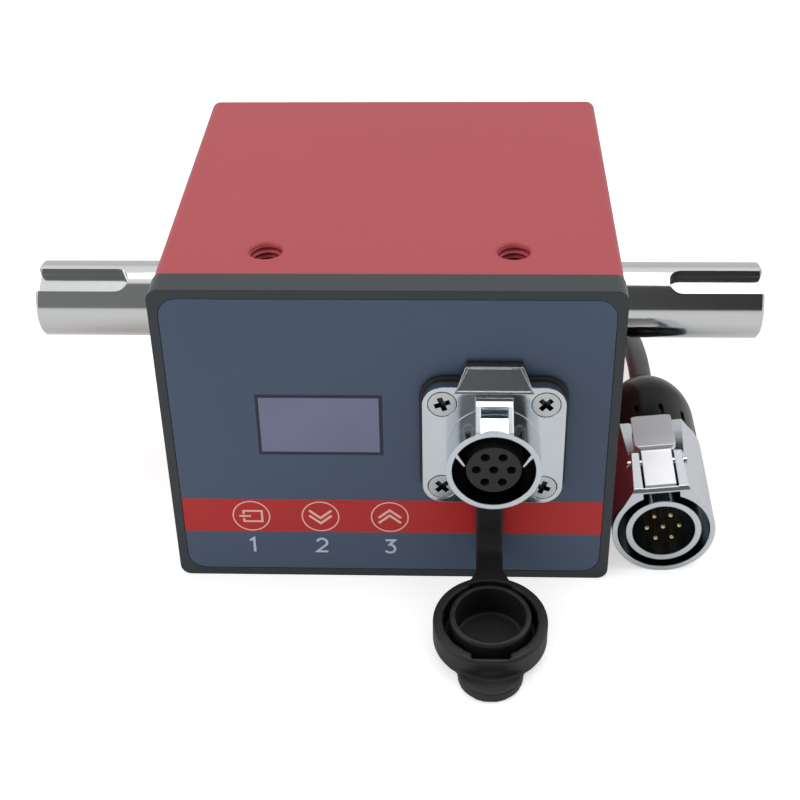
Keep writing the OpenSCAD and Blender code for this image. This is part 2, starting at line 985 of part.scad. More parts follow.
// The part of the strap that bends forward from its hinge line and runs to the cap's rim
module strap_end() {
    run_y = hinge_y - strap_bend;
    run_z = hinge_z - strap_bend;
    translate([cap_x - strap_w/2, hinge_y, hinge_z])
        rotate([0, 90, 0])
            cylinder(h = strap_w, r = strap_t/2);
    translate([cap_x - strap_w/2, run_y, hinge_z])
        rotate([0, 90, 0])
            rotate_extrude(angle = 90)
                translate([strap_bend - strap_t/2, 0])
                    square([strap_t, strap_w]);
    flare_y = cap_y + sqrt(pow(groove_out_r, 2) - pow(flare_w/2, 2));
    translate([cap_x, 0, 0])
        slab(run_z - strap_t/2, run_z + strap_t/2)
            polygon([[-strap_w/2, run_y], [-strap_w/2, cap_y + cap_r + flare_l], [-flare_w/2, flare_y],
                [flare_w/2, flare_y], [strap_w/2, cap_y + cap_r + flare_l], [strap_w/2, run_y]]);
}

module dust_cap() {
    color("dimgray") {
        difference() {
            union() {
                cap_place() {
                    rotate_extrude()
                        polygon(cap_profile);
                    translate([0, pull_r - pull_out, pull_lift - cap_h])
                        cylinder(h = pull_t, r = pull_r);
                }
                strap_end();
            }
            cap_place() {
                translate([-notch_w/2, notch_wall - cap_r, -groove_depth])
                    cube([notch_w, cap_r - notch_wall - groove_in_r - notch_in, groove_depth + over]);
                translate([-cap_r, -cap_r - over, facet_rise - skirt_h])
                    cube([cap_d, over + facet_cut, skirt_h]);
                slab(-groove_depth, 2*seal_rise)
                    difference() {
                        circle(r = groove_out_r);
                        circle(r = groove_in_r);
                    }
            }
        }
    }
}

// Half of the shaft's outline from the middle to its end: radius and place along the shaft
shaft_half = [[neck_r, 0], [neck_r, neck_l/2], [core_r, neck_l/2], [core_r, shoulder_x0],
    [shoulder_d/2, shoulder_x0], [shoulder_d/2, bearing_x0], [journal_r, bearing_x0],
    [journal_r, bearing_x1], [land_r, bearing_x1], [land_r, side_x + land_out],
    [shaft_r, side_x + land_out], [shaft_r, shaft_l/2 - shaft_chamfer],
    [shaft_r - shaft_chamfer, shaft_l/2], [0, shaft_l/2]];

module shaft() {
    last = len(shaft_half) - 1;
    outline = concat(shaft_half, [for (i = [last:-1:0]) [shaft_half[i][0], -shaft_half[i][1]]]);
    color("lightgray")
        difference() {
            on_shaft()
                rotate_extrude()
                    polygon(outline);
            for (side = [-1, 1])
                translate([0, 0, shaft_z])
                    rotate([90 - key_angle, 0, 0]) {
                        translate([side*(shaft_l/2 - key_l + key_w/2), 0, shaft_r - key_depth])
                            cylinder(h = key_depth + over, d = key_w);
                        translate([side > 0 ? shaft_l/2 - key_l + key_w/2 : -shaft_l/2 - over, -key_w/2,
                            shaft_r - key_depth])
                            cube([key_l - key_w/2 + over, key_w, key_depth + over]);
                    }
        }
}

module strain_gauges() {
    color("orange")
        for (i = [0:gauge_n - 1])
            on_shaft(-gauge_l/2)
                rotate([0, 0, i*360/gauge_n])
                    rotate_extrude(angle = gauge_angle)
                        translate([neck_r + fit, 0])
                            square([gauge_t, gauge_l]);
}

// Draws a bearing piece on the left or right, from its section: radius and place across the width
module bearing_ring(side, r_in, r_out) {
    on_shaft(side > 0 ? bearing_x0 : -bearing_x1)
        rotate_extrude()
            difference() {
                translate([r_in, 0])
                    square([r_out - r_in, bearing_w]);
                translate([race_r, bearing_w/2])
                    circle(r = groove_r);
            }
}

module bearing_outer(side) {
    color("gainsboro")
        bearing_ring(side, outer_race_r, bearing_r);
}

module bearing_inner(side) {
    color("gainsboro")
        bearing_ring(side, journal_r + fit, inner_race_r);
}

module at_balls(side) {
    on_shaft(side*(bearing_x0 + bearing_x1)/2)
        for (i = [0:ball_n - 1])
            rotate([0, 0, i*360/ball_n])
                translate([race_r, 0, 0])
                    children();
}

module bearing_balls(side) {
    color("silver")
        at_balls(side)
            sphere(d = ball_d);
}

module bearing_cage(side) {
    color("peru")
        difference() {
            on_shaft(side*(bearing_x0 + bearing_x1)/2)
                ring(-cage_w/2, cage_w/2, race_r + cage_t/2, race_r - cage_t/2);
            at_balls(side)
                rotate([0, 90, 0])
                    cylinder(h = 2*cage_t, r = ball_d/2 + slip, center = true);
        }
}

module left_bearing_outer() {
    bearing_outer(-1);
}

module left_bearing_inner() {
    bearing_inner(-1);
}

module left_bearing_balls() {
    bearing_balls(-1);
}

module left_bearing_cage() {
    bearing_cage(-1);
}

module right_bearing_outer() {
    bearing_outer(1);
}

module right_bearing_inner() {
    bearing_inner(1);
}

module right_bearing_balls() {
    bearing_balls(1);
}

module right_bearing_cage() {
    bearing_cage(1);
}

// An end cap: a disc in the housing's side that holds the bearing's outer ring
module end_cap(side) {
    color("indianred")
        difference() {
            on_shaft(side > 0 ? bearing_x1 : -side_x)
                ring(0, end_cap_t, end_cap_d/2, land_r + end_cap_gap);
            on_shaft(side*bearing_x1)
                cylinder(h = 2*relief_depth, r = outer_race_r - seat_gap, center = true);
            at_end_cap_screws()
                screw_hole(end_cap_screw_l);
        }
}

module left_end_cap() {
    end_cap(-1);
}

module right_end_cap() {
    end_cap(1);
}

module end_cap_screws() {
    color("gray")
        at_end_cap_screws()
            countersunk_screw(end_cap_screw_l);
}

// The sleeve on the shaft that carries the rotor's board and winding
module rotor_sleeve() {
    color("tan")
        on_shaft()
            ring(sleeve_x0, sleeve_x1, core_r + fit + sleeve_t, core_r + fit);
}

module rotor_board() {
    color("darkgreen")
        on_shaft()
            ring(board_disc_x0, board_disc_x0 + board_disc_t, board_disc_r, core_r + sleeve_t + 2*fit);
}

module rotor_winding() {
    color("chocolate")
        on_shaft()
            ring(winding_x0, winding_x0 + winding_l, winding_r, core_r + sleeve_t + 2*fit);
}

module stator_winding() {
    color("chocolate")
        on_shaft()
            ring(winding_x0, winding_x0 + winding_l, stator_r, winding_r + air_gap);
}

// The ring that holds the stator winding, and its foot on the cavity's floor
module stator_bracket() {
    color("lightsteelblue")
        difference() {
            union() {
                on_shaft()
                    ring(winding_x0, winding_x0 + winding_l, stator_r + fit + bracket_t, stator_r + fit);
                translate([winding_x0, -bracket_w/2, cavity_z0])
                    cube([winding_l, bracket_w, shaft_z - stator_r - bracket_t/2 - cavity_z0]);
                translate([winding_x0, -bracket_w, cavity_z0])
                    cube([winding_l, 2*bracket_w, bracket_t]);
            }
            at_bracket_screws()
                slab(-over, bracket_t + over)
                    circle(r = board_screw_r + slip);
        }
}

module at_bracket_screws() {
    for (side = [-1, 1])
        translate([winding_x0 + winding_l/2, side*bracket_screw_y, cavity_z0])
            children();
}

module bracket_screws() {
    color("gray")
        at_bracket_screws() {
            slab(fit, bracket_t)
                circle(r = board_screw_r);
            slab(bracket_t, bracket_t + board_screw_head_h)
                circle(r = board_screw_head);
        }
}

module speed_disc() {
    color("gray")
        on_shaft(disc_x)
            difference() {
                union() {
                    ring(-disc_hub_l/2, disc_hub_l/2, disc_hub_r, core_r + fit);
                    ring(-disc_t/2, disc_t/2, disc_r, core_r + fit);
                }
                for (i = [0:slot_n - 1])
                    rotate([0, 0, i*360/slot_n])
                        translate([slot_r0, -slot_w/2, -disc_t])
                            cube([slot_r1 - slot_r0, slot_w, 2*disc_t]);
            }
}

// The forked pickup that stands on the cavity's floor with the disc's edge in its slot
module speed_pickup() {
    top_z = shaft_z - disc_r + pickup_overlap;
    color("black")
        difference() {
            translate([disc_x - pickup_w/2, -pickup_y/2, cavity_z0])
                cube([pickup_w, pickup_y, top_z - cavity_z0]);
            translate([disc_x - pickup_slot/2, -pickup_y, shaft_z - disc_r - pickup_room])
                cube([pickup_slot, 2*pickup_y, disc_r]);
        }
}

// Wires from the pickup and from the stator bracket to their connectors on the board
module signal_leads() {
    start_y = board_y0 + board_t + connector_t;
    turn_y = start_y + signal_lead_out;
    from_x = connector_places[1][0];
    to_x = winding_x0 + winding_l/2;
    color("steelblue")
        translate([0, 0, connector_places[0][1]]) {
            translate([disc_x, -pickup_y/2, 0])
                rotate([90, 0, 0])
                    cylinder(h = -pickup_y/2 - start_y, r = signal_lead_r);
            translate([from_x, turn_y, 0])
                rotate([90, 0, 0])
                    cylinder(h = signal_lead_out, r = signal_lead_r);
            translate([from_x, turn_y, 0])
                rotate([0, 90, 0])
                    cylinder(h = to_x - from_x, r = signal_lead_r);
            translate([to_x, -bracket_w/2, 0])
                rotate([90, 0, 0])
                    cylinder(h = -bracket_w/2 - turn_y, r = signal_lead_r);
            for (x = [from_x, to_x])
                translate([x, turn_y, 0])
                    sphere(r = signal_lead_r);
        }
}

module latch_pin_bore() {
    translate([-plug_r, pin_y, -pin_z])
        rotate([0, 90, 0])
            cylinder(h = plug_d, r = latch_pin_r + fit);
}

module plug_shell() {
    color("silver")
        in_plug()
            difference() {
                // Round below, with flat sides that rise to the saddle
                union() {
                    slab(-plug_l, 0)
                        circle(r = plug_r);
                    slab(-plug_l, 0)
                        polygon([[-saddle_foot[0], saddle_foot[1]], [-saddle_x, saddle_y],
                            [saddle_x, saddle_y], saddle_foot]);
                }
                slab(-mouth_depth, over)
                    circle(r = mouth_r);
                slab(-plug_l - over, 0)
                    circle(r = seat_r);
                // Notch over the mouth for the catch, and the slot for the latch's arm
                slab(-mouth_notch_l, over)
                    translate([-notch_w/2, 0])
                        square([notch_w, mouth_r + mouth_notch_rise]);
                slab(-plate_z0 - plate_lap - seat_gap, -strip_t)
                    translate([-arm_w/2 - arm_gap, arm_low - arm_slot_drop])
                        square([arm_w + 2*arm_gap, saddle_y]);
                // The saddle's top slopes down to its brow and the mouth
                side_view(plug_d)
                    polygon(side_points([[over, saddle_front_y], [over, saddle_y + over],
                        [-plate_z0, saddle_y + over], [-plate_z0, saddle_y], [-saddle_front, saddle_brow_y],
                        [0, saddle_front_y]]));
                // The shelf under the latch's push plate, which leaves room to press it
                side_view(plug_d)
                    polygon(side_points([[-shelf_z, shelf_front_y], [-shelf_z, saddle_y + over],
                        [-plug_l - over, saddle_y + over], [-plug_l - over, shelf_rear_y],
                        [-plug_l, shelf_rear_y]]));
                latch_pin_bore();
            }
}

// Side view of the latch: the arm in the saddle's slot, and the push plate behind it
latch_arm = [[-arm_front, arm_low - hook_drop], [-arm_front, arm_brow - arm_nose_drop],
    [-arm_front - arm_nose_l, arm_brow], [-plate_z0, arm_high], [-plate_z0 - plate_lap, arm_high],
    [-plate_z0 - plate_lap, plate_low], [-plate_z0, arm_low], [-arm_front - hook_l - hook_drop, arm_low],
    [-arm_front - hook_l, arm_low - hook_drop]];
latch_plate = [[-plate_z0, plate_low], [-plate_z0, plate_high - plate_break],
    [-plate_z0 - plate_break, plate_high], [-plate_z1 + plate_rear_break, plate_rear_high],
    [-plate_z1, plate_rear_high - plate_rear_break/2], [-plate_z1, plate_rear_low]];

module plug_latch() {
    color("silver")
        in_plug()
            difference() {
                union() {
                    side_view(arm_w)
                        polygon(side_points(latch_arm));
                    intersection() {
                        side_view(plate_w)
                            polygon(side_points(latch_plate));
                        // Plan of the plate, with round corners
                        translate([0, 0, -(plate_z0 + plate_z1)/2])
                            rotate([-90, 0, 0])
                                slab(0, saddle_y + over)
                                    round_rect(plate_w, plate_z1 - plate_z0, plate_corner_r);
                    }
                    translate([-arm_w/2, pin_y, -pin_z])
                        rotate([0, 90, 0])
                            cylinder(h = arm_w, r = latch_hub_r);
                }
                latch_pin_bore();
            }
}

module latch_pin() {
    pin_l = 2*(latch_pin_x + latch_pin_out);
    color("gray")
        in_plug()
            translate([-pin_l/2, pin_y, -pin_z])
                rotate([0, 90, 0])
                    cylinder(h = pin_l, r = latch_pin_r);
}

module plug_sleeve() {
    color("silver")
        in_plug() {
            ring(-sleeve_end, -sleeve_front, sleeve_r, sleeve_bore_r);
            ring(-sleeve_end, -mouth_depth - sleeve_collar, seat_r - fit, sleeve_bore_r);
        }
}

module plug_insert() {
    color("black")
        in_plug()
            difference() {
                slab(-sleeve_end, -insert_front)
                    circle(r = sleeve_bore_r - fit);
                at_contacts()
                    slab(-sleeve_end - over, 0)
                        circle(r = pin_r + fit);
            }
}

module plug_pins() {
    color("gold")
        in_plug()
            at_contacts() {
                slab(-pin_end, -pin_front - pin_r)
                    circle(r = pin_r);
                translate([0, 0, -pin_front - pin_r])
                    sphere(r = pin_r);
            }
}

// Half section of the rear shell: a tube with a round end and a spigot into the metal shell
module rear_section() {
    difference() {
        union() {
            square([rear_r, rear_l - rear_dome]);
            translate([0, rear_l - rear_dome])
                intersection() {
                    square([rear_r, rear_dome]);
                    scale([1, rear_dome/rear_r])
                        circle(r = rear_r);
                }
        }
        square([rear_r - rear_wall, rear_l - rear_dome]);
        square([seal_r + fit, rear_l + over]);
    }
}

module plug_rear_shell() {
    color("black")
        in_plug()
            difference() {
                translate([0, 0, -plug_l])
                    rotate([180, 0, 0])
                        rotate_extrude()
                            rear_section();
                for (i = [0:rib_n - 1])
                    rotate([0, 0, (i + 0.5)*360/rib_n])
                        translate([rear_r - rib_groove_in, -rib_groove_w/2, -plug_l - rib_groove_l])
                            cube([rib_groove_in + over, rib_groove_w, rib_groove_l + over]);
            }
}

module cable_seal() {
    color("dimgray")
        in_plug()
            ring(-plug_l - rear_l - seal_out, -plug_l - rear_l + seal_in, seal_r, cable_r + fit);
}

// One ring of the cable's tube: points round a place on the route, square to its direction
function unit(v) = v/norm(v);
function route_way(i) = unit(cable_route[min(i + 1, len(cable_route) - 1)] - cable_route[max(i - 1, 0)]);
function route_side(i) = unit(cross(route_way(i), [0, 0, 1]));
function ring_points(i) = [for (j = [0:cable_sides - 1])
    let (a = (j + 0.5)*360/cable_sides)
        cable_route[i] + cable_r*(cos(a)*route_side(i) + sin(a)*cross(route_side(i), route_way(i)))];

module cable_lead() {
    rings = len(cable_route);
    points = [for (i = [0:rings - 1]) each ring_points(i)];
    walls = [for (i = [0:rings - 2], j = [0:cable_sides - 1])
        let (k = (j + 1) % cable_sides)
            [i*cable_sides + j, i*cable_sides + k, (i + 1)*cable_sides + k, (i + 1)*cable_sides + j]];
    first = [for (j = [cable_sides - 1:-1:0]) j];
    last = [for (j = [0:cable_sides - 1]) (rings - 1)*cable_sides + j];
    color("dimgray")
        polyhedron(points, concat([first], walls, [last]));
}

module at_coil() {
    translate([coil_x, coil_y, coil_z])
        children();
}

module cable_coil() {
    color("dimgray")
        at_coil()
            ring(0, coil_h, coil_mid_r + coil_w/2, coil_mid_r - coil_w/2);
}

// The section of the coil's turns with a margin round it
module coil_section(margin) {
    square([coil_w + 2*margin, coil_h + 2*margin], center = true);
}

// The strap that ties the coil's turns together at the back
module coil_tie() {
    color("black")
        at_coil()
            rotate([0, 0, 90 - tie_angle/2])
                rotate_extrude(angle = tie_angle)
                    translate([coil_mid_r, coil_h/2])
                        difference() {
                            coil_section(tie_gap + tie_t);
                            coil_section(tie_gap);
                        }
}

// The bare core ends, which lie on the coil's top beside the end of the cable's sheath
module cable_cores() {
    color("orange")
        translate([coil_x - core_l/2, coil_y - coil_mid_r, coil_z + coil_h + fit])
            for (i = [0:core_n - 1])
                translate([0, (i - (core_n - 1)/2)*(2*core_wire_r + slip), core_wire_r])
                    rotate([0, 90, 0])
                        cylinder(h = core_l, r = core_wire_r);
}

housing();
front_cover();
cover_screws();
overlay();
display_panel();
display_frame();
main_board();
board_standoffs();
board_screws();
board_connectors();
key_switches();
key_1();
key_2();
key_3();
receptacle_shell();
receptacle_insert();
receptacle_contacts();
receptacle_screws();
socket_lead();
cap_tether();
dust_cap();
shaft();
strain_gauges();
left_bearing_outer();
left_bearing_inner();
left_bearing_balls();
left_bearing_cage();
right_bearing_outer();
right_bearing_inner();
right_bearing_balls();
right_bearing_cage();
left_end_cap();
right_end_cap();
end_cap_screws();
rotor_sleeve();
rotor_board();
rotor_winding();
stator_winding();
stator_bracket();
bracket_screws();
speed_disc();
speed_pickup();
signal_leads();
plug_shell();
plug_latch();
latch_pin();
plug_sleeve();
plug_insert();
plug_pins();
plug_rear_shell();
cable_seal();
cable_lead();
cable_coil();
coil_tie();
cable_cores();
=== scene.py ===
"""Looks of the rotary torque sensor: finishes, soft edges, print, threads, the rubber cap and the lead."""

import json
import math

import bmesh
import bpy
from mathutils import Matrix, Vector

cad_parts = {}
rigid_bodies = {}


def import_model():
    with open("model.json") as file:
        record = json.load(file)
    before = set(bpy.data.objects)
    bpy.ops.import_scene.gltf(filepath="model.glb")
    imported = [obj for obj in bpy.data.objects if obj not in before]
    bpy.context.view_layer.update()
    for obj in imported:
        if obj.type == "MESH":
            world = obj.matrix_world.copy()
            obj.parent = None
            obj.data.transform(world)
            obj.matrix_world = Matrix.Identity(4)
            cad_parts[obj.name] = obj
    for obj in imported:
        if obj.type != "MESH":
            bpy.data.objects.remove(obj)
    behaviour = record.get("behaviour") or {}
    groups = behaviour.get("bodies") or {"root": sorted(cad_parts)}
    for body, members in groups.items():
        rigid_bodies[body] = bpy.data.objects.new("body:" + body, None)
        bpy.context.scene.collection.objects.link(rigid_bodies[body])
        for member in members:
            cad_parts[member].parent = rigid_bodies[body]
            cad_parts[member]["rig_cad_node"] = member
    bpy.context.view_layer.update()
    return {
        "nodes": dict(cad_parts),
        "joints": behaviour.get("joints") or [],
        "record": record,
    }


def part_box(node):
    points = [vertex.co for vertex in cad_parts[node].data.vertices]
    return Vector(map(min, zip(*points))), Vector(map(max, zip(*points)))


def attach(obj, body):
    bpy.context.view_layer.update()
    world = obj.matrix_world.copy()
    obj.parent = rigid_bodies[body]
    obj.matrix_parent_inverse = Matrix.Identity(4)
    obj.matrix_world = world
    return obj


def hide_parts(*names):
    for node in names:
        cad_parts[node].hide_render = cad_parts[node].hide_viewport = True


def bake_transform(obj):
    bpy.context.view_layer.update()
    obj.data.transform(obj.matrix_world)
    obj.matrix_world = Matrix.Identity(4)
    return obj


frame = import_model()
nodes = frame["nodes"]
joints = {joint["name"]: joint for joint in frame["joints"]}
slot_of = {part["node"]: part["material_slot"] for part in frame["record"]["subparts"]}

MM = 0.001
WHITE = (1, 1, 1, 1)


def srgb(red, green, blue):
    """A linear colour from screen values of 0 to 255."""
    def linear(value):
        value /= 255
        return value/12.92 if value <= 0.04045 else ((value + 0.055)/1.055)**2.4
    return (linear(red), linear(green), linear(blue), 1.0)


def link_object(name, data):
    thing = bpy.data.objects.new(name, data)
    bpy.context.scene.collection.objects.link(thing)
    return thing


# Camera
CAMERA_PLACE = Vector((13.0, -269.6, 197.5))*MM
CAMERA_RIGHT = Vector((0.99918, 0.03648, -0.01726))
CAMERA_UP = Vector((-0.00643, 0.56622, 0.82418))
LENS, SENSOR = 66.15, 36.0
CLIP_START, CLIP_END = 0.01, 20


def make_camera():
    data = bpy.data.cameras.new("camera")
    data.lens, data.sensor_width = LENS, SENSOR
    data.clip_start, data.clip_end = CLIP_START, CLIP_END
    camera = link_object("camera", data)
    axes = Matrix((CAMERA_RIGHT, CAMERA_UP, CAMERA_RIGHT.cross(CAMERA_UP))).transposed()
    camera.matrix_world = Matrix.Translation(CAMERA_PLACE) @ axes.to_4x4()
    bpy.context.scene.camera = camera


make_camera()

# The lead's route and its coil, as the solids have them
CABLE_D = 5*MM
LEAD_ROUTE = [(54.5, 7.2, 10.2), (54.6, 13, 10.1), (54.7, 20, 9.5), (54.8, 27, 7.9), (54.9, 34, 5.8), (54.4, 41, 4.1),
              (52.7, 48, 3), (49.5, 55, 2.6), (45.6, 62, 2.6), (41.6, 69, 2.6), (38.6, 74, 2.8), (36.9, 78, 3),
              (35.6, 82.5, 3.2)]
COIL_CENTRE = Vector((0, 88, 3.5))*MM
COIL_STEPS = 24
# Places along the winding: turns from the start, radius, and height above the bottom layer, in mm
COIL_WINDING = [(0, 35, 0), (2, 25, 0), (2.25, 23.75, 5.05), (4.65, 35.9, 5.05), (4.9, 36.3, 10.1),
                (7.69, 22.2, 10.1)]
TUBE_ROUNDNESS, TUBE_STEPS = 5, 4


def coil_point(turns):
    """The place that many turns along the winding, which climbs smoothly from layer to layer."""
    for (t0, r0, z0), (t1, r1, z1) in zip(COIL_WINDING, COIL_WINDING[1:]):
        if turns <= t1:
            break
    share = (turns - t0)/(t1 - t0)
    radius = r0 + (r1 - r0)*share
    height = z0 + (z1 - z0)*share*share*(3 - 2*share)
    angle = turns*2*math.pi
    return COIL_CENTRE + Vector((radius*math.cos(angle), radius*math.sin(angle), height))*MM


def tube_curve(name, points, diameter):
    """A round tube along one smooth open spline, whose points carry the tube's radius."""
    data = bpy.data.curves.new(name, "CURVE")
    data.dimensions, data.bevel_depth, data.bevel_resolution = "3D", 1, TUBE_ROUNDNESS
    data.use_fill_caps, data.resolution_u = True, TUBE_STEPS
    spline = data.splines.new("BEZIER")
    spline.bezier_points.add(len(points) - 1)
    for place, point in zip(spline.bezier_points, points):
        place.co, place.radius = point, diameter/2
        place.handle_left_type = place.handle_right_type = "AUTO"
    return link_object(name, data)


def make_lead():
    turns = COIL_WINDING[-1][0]
    count = round(turns*COIL_STEPS)
    coil = [coil_point(turns*i/count) for i in range(count + 1)]
    points = [Vector(place)*MM for place in LEAD_ROUTE] + coil
    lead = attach(tube_curve("lead_cable", points, CABLE_D), "housing")
    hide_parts("cable_lead", "cable_coil")
    on_lead = ["plug_shell", "plug_latch", "latch_pin", "plug_sleeve", "plug_insert", "plug_pins",
               "plug_rear_shell", "cable_seal", "coil_tie"]
    return lead, points, on_lead


lead, lead_points, on_lead = make_lead()

# Materials
# The noise's values lie mostly between these
NOISE_ENDS = (0.3, 0.7)
# The depth of a grain's relief, as a share of the grain's size
RELIEF_DEPTH = 0.3
# Inputs and output of the Mix node for colours, where names repeat
MIX_SHARE, MIX_UNDER, MIX_OVER, MIX_COLOUR = 0, 6, 7, 2
# Inputs of the Mix node for numbers
MIX_FROM, MIX_TO = 2, 3


def add_node(tree, kind, inputs=None, **settings):
    """A node with its settings, and with values or links on the inputs that are named or numbered."""
    made = tree.nodes.new(kind)
    for name, value in settings.items():
        setattr(made, name, value)
    for name, value in (inputs or {}).items():
        if isinstance(value, bpy.types.NodeSocket):
            tree.links.new(value, made.inputs[name])
        else:
            made.inputs[name].default_value = value
    return made


def new_material(name, **constants):
    """A material with a Principled shader whose constant sockets are set."""
    made = bpy.data.materials.new(name)
    made.use_nodes = True
    shader = made.node_tree.nodes["Principled BSDF"]
    for socket, value in constants.items():
        shader.inputs[socket.replace("_", " ")].default_value = value
    return made, made.node_tree, shader


def place_axes(tree, space="Object"):
    """The X, Y and Z of a place in the part's own frame, or of another space's coordinates."""
    place = add_node(tree, "ShaderNodeTexCoord").outputs[space]
    return add_node(tree, "ShaderNodeSeparateXYZ", {"Vector": place}).outputs


def mapped(tree, value, ends, results=(0, 1)):
    """A value carried from one range to another, and held at its ends."""
    made = add_node(tree, "ShaderNodeMapRange", {"Value": value, "From Min": ends[0], "From Max": ends[1],
                                                 "To Min": results[0], "To Max": results[1]})
    return made.outputs["Result"]


def noise(tree, size, detail=3.0, stretch=(1, 1, 1)):
    """Noise in the part's own frame whose blotches are about size across, and longer where stretch is over 1."""
    place = add_node(tree, "ShaderNodeTexCoord").outputs["Object"]
    scale = tuple(1/(size*s) for s in stretch)
    spread = add_node(tree, "ShaderNodeMapping", {"Vector": place, "Scale": scale})
    made = add_node(tree, "ShaderNodeTexNoise", {"Vector": spread.outputs["Vector"], "Scale": 1.0, "Detail": detail})
    return made.outputs["Fac"]


def shades(tree, factor, colour, change):
    """The colour, a little darker where the factor is low and a little lighter where it is high."""
    ramp = add_node(tree, "ShaderNodeValToRGB", {"Fac": factor})
    for stop, position, level in zip(ramp.color_ramp.elements, NOISE_ENDS, (1 - change, 1 + change)):
        stop.position = position
        stop.color = [min(1, channel*level) for channel in colour[:3]] + [1]
    return ramp.outputs["Color"]


def emboss(tree, shader, height, strength, depth, edge=0.0):
    """Gives a shader the relief of a height, and rounds the edges in its shading."""
    relief = add_node(tree, "ShaderNodeBump", {"Height": height, "Strength": strength, "Distance": depth})
    if edge:
        rounded = add_node(tree, "ShaderNodeBevel", {"Radius": edge}, samples=4)
        tree.links.new(rounded.outputs["Normal"], relief.inputs["Normal"])
    tree.links.new(relief.outputs["Normal"], shader.inputs["Normal"])


def finish(name, colour, roughness, blotch=9*MM, change=0.08, grain=0.25*MM, stretch=(1, 1, 1), bump=0.08,
           rough_change=0.15, edge=0.0, **constants):
    """A surface with soft blotches of its screen colour, a grain in its gloss and relief, and rounded edges."""
    made, tree, shader = new_material(name, **constants)
    tree.links.new(shades(tree, noise(tree, blotch), srgb(*colour), change), shader.inputs["Base Color"])
    fine = noise(tree, grain, detail=4.0, stretch=stretch)
    gloss = mapped(tree, fine, NOISE_ENDS, (roughness*(1 - rough_change), roughness*(1 + rough_change)))
    tree.links.new(gloss, shader.inputs["Roughness"])
    emboss(tree, shader, fine, bump, grain*RELIEF_DEPTH, edge)
    return made


def metal(name, colour, roughness, **settings):
    return finish(name, colour, roughness, Metallic=1.0, **settings)


def band(tree, value, ends):
    """1 where a value in metres lies between two ends in mm, and 0 elsewhere."""
    low, high = (end*MM for end in ends)
    made = add_node(tree, "ShaderNodeMath", {0: value, 1: (low + high)/2, 2: (high - low)/2}, operation="COMPARE")
    return made.outputs["Value"]


def both(tree, first, second):
    return add_node(tree, "ShaderNodeMath", {0: first, 1: second}, operation="MULTIPLY").outputs["Value"]


def painted(tree, under, over, mask):
    """One colour laid over another where the mask is 1."""
    mix = add_node(tree, "ShaderNodeMix", {MIX_SHARE: mask, MIX_UNDER: under, MIX_OVER: over}, data_type="RGBA")
    return mix.outputs[MIX_COLOUR]


# Places on the overlay, in mm: across and up
STRIPE_Z = (11.25, 19.4)
WINDOW_BORDER = ((-25.0, -1.2), (30.3, 44.15))
WINDOW = ((-24.4, -1.9), (31.0, 43.4))


def overlay_print():
    """The printed film: a blue-grey ground, a red stripe, and a window with a dark border."""
    made, tree, shader = new_material("overlay_print", Roughness=0.4, Specular_IOR_Level=0.3)
    axes = place_axes(tree)
    across, up = axes["X"], axes["Z"]
    broad = noise(tree, 30*MM, detail=2.0)
    ground = shades(tree, broad, srgb(66, 80, 101), 0.04)
    stripe = shades(tree, broad, srgb(173, 35, 34), 0.04)
    border = shades(tree, broad, srgb(34, 42, 60), 0.05)
    window = shades(tree, noise(tree, 12*MM, detail=1.0), srgb(108, 112, 138), 0.05)
    colour = painted(tree, ground, stripe, band(tree, up, STRIPE_Z))
    for shade, (xs, zs) in ((border, WINDOW_BORDER), (window, WINDOW)):
        colour = painted(tree, colour, shade, both(tree, band(tree, across, xs), band(tree, up, zs)))
    tree.links.new(colour, shader.inputs["Base Color"])
    emboss(tree, shader, noise(tree, 0.3*MM, detail=2.0), 0.04, 0.05*MM)
    return made


# The tops of the receptacle's screws, and the depths under them from which the painted shade in the recesses shows
# and at which it is full
SCREW_TOP_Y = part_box("receptacle_screws")[0].y
SHADE_DEPTHS = (0.05*MM, 0.5*MM)


def flange_screws():
    """Plated heads with painted shade, a dark grey laid in by depth, in their cross recesses."""
    made = metal("flange_screws", (196, 201, 203), 0.26, change=0.06, grain=0.2*MM, edge=0.08*MM)
    tree = made.node_tree
    depth = mapped(tree, place_axes(tree)["Y"], [SCREW_TOP_Y + deep for deep in SHADE_DEPTHS])
    shader = tree.nodes["Principled BSDF"]
    unshaded = shader.inputs["Base Color"].links[0].from_socket
    # painted shade: a dark grey laid into the cross recesses by depth, where shadow falls
    painted_shade = shades(tree, noise(tree, 0.5*MM), srgb(58, 58, 56), 0.2)
    tree.links.new(painted(tree, unshaded, painted_shade, depth), shader.inputs["Base Color"])
    return made


# Turned and ground surfaces carry fine rings round the shaft
RINGS = (0.3, 12, 12)
# Screen colour, roughness and what else a finish needs
METALS = {
    "ground_steel": ((208, 210, 210), 0.11, dict(blotch=20*MM, change=0.015, grain=0.3*MM, stretch=RINGS, bump=0.012,
                                                 rough_change=0.3, edge=0.12*MM)),
    "bearing_steel": ((190, 192, 194), 0.2, dict(grain=0.4*MM, stretch=RINGS, bump=0.03)),
    "cage_brass": ((196, 158, 84), 0.32, {}),
    "plated_zinc": ((206, 212, 217), 0.13, dict(blotch=5*MM, change=0.02, grain=0.6*MM, bump=0.02, edge=0.25*MM)),
    "satin_zinc": ((222, 226, 229), 0.42, dict(blotch=5*MM, change=0.02, grain=0.15*MM, bump=0.02, edge=0.25*MM)),
    "screw_steel": ((190, 195, 195), 0.28, dict(change=0.06, grain=0.2*MM, edge=0.08*MM)),
    "contact_gold": ((240, 222, 172), 0.22, dict(change=0.05)),
    "standoff_brass": ((205, 172, 96), 0.3, {}),
    "copper_winding": ((190, 112, 70), 0.35, dict(grain=0.3*MM, stretch=RINGS, bump=0.3)),
    "bare_aluminium": ((205, 207, 209), 0.34, dict(change=0.05)),
    "disc_steel": ((165, 166, 168), 0.35, {}),
}
